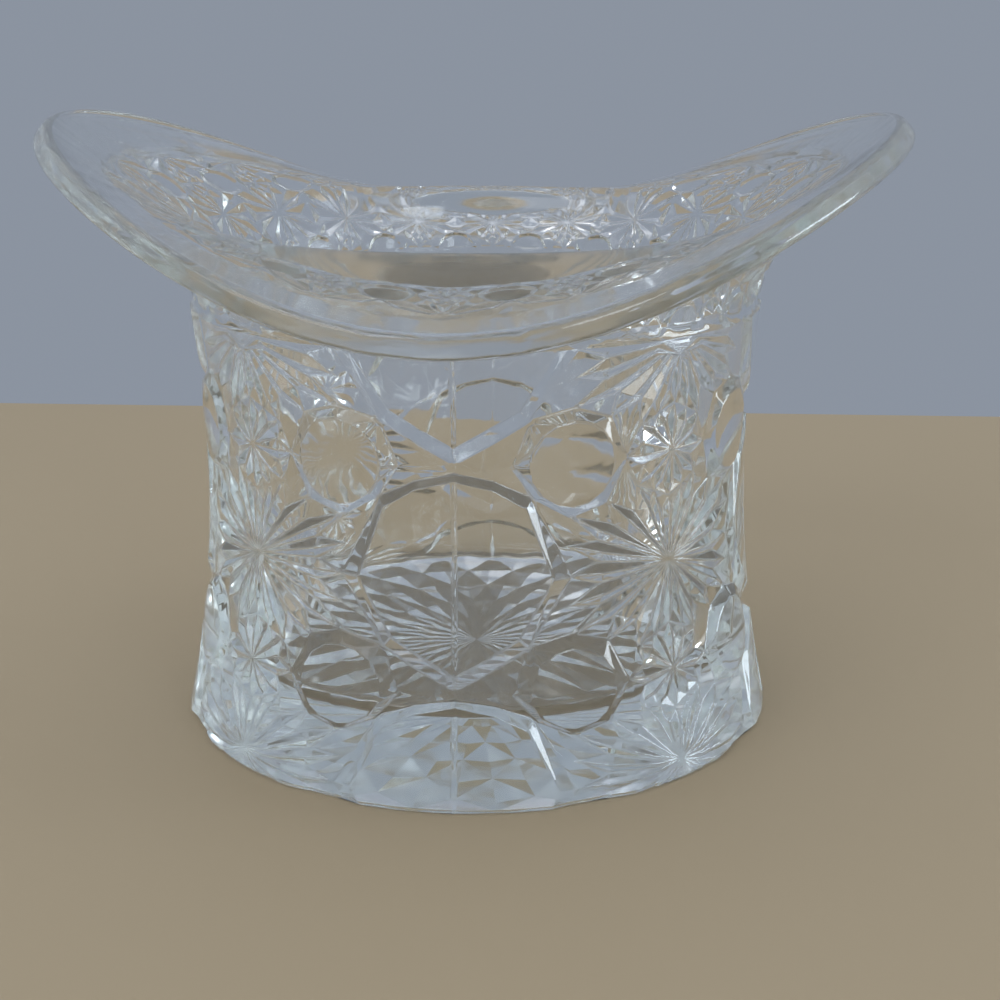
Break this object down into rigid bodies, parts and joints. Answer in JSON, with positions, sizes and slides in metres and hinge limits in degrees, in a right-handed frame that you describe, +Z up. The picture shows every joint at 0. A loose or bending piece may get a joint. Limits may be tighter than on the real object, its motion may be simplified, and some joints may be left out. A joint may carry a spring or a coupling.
{
  "type": "pressed glass hat",
  "caption": "Clear pressed glass cup in the form of an upturned top hat, with a drawn-in patterned crown and a curled saddle-shaped brim, to hold toothpicks or small flowers.",
  "frame": {"origin": "middle of the flat base, on the surface that the hat stands on", "axes": "+Z up through the mouth; -Y is the front, where the mould seam and the low part of the brim are; -X and +X point to the brim's two raised tips"},
  "size_m": [0.078, 0.0762, 0.056],
  "materials": {
    "glass": "clear polished, pressed"
  },
  "bodies": {
    "root": {"base": "glass", "crown": "glass", "brim": "glass", "rim": "glass"}
  },
  "joints": []
}
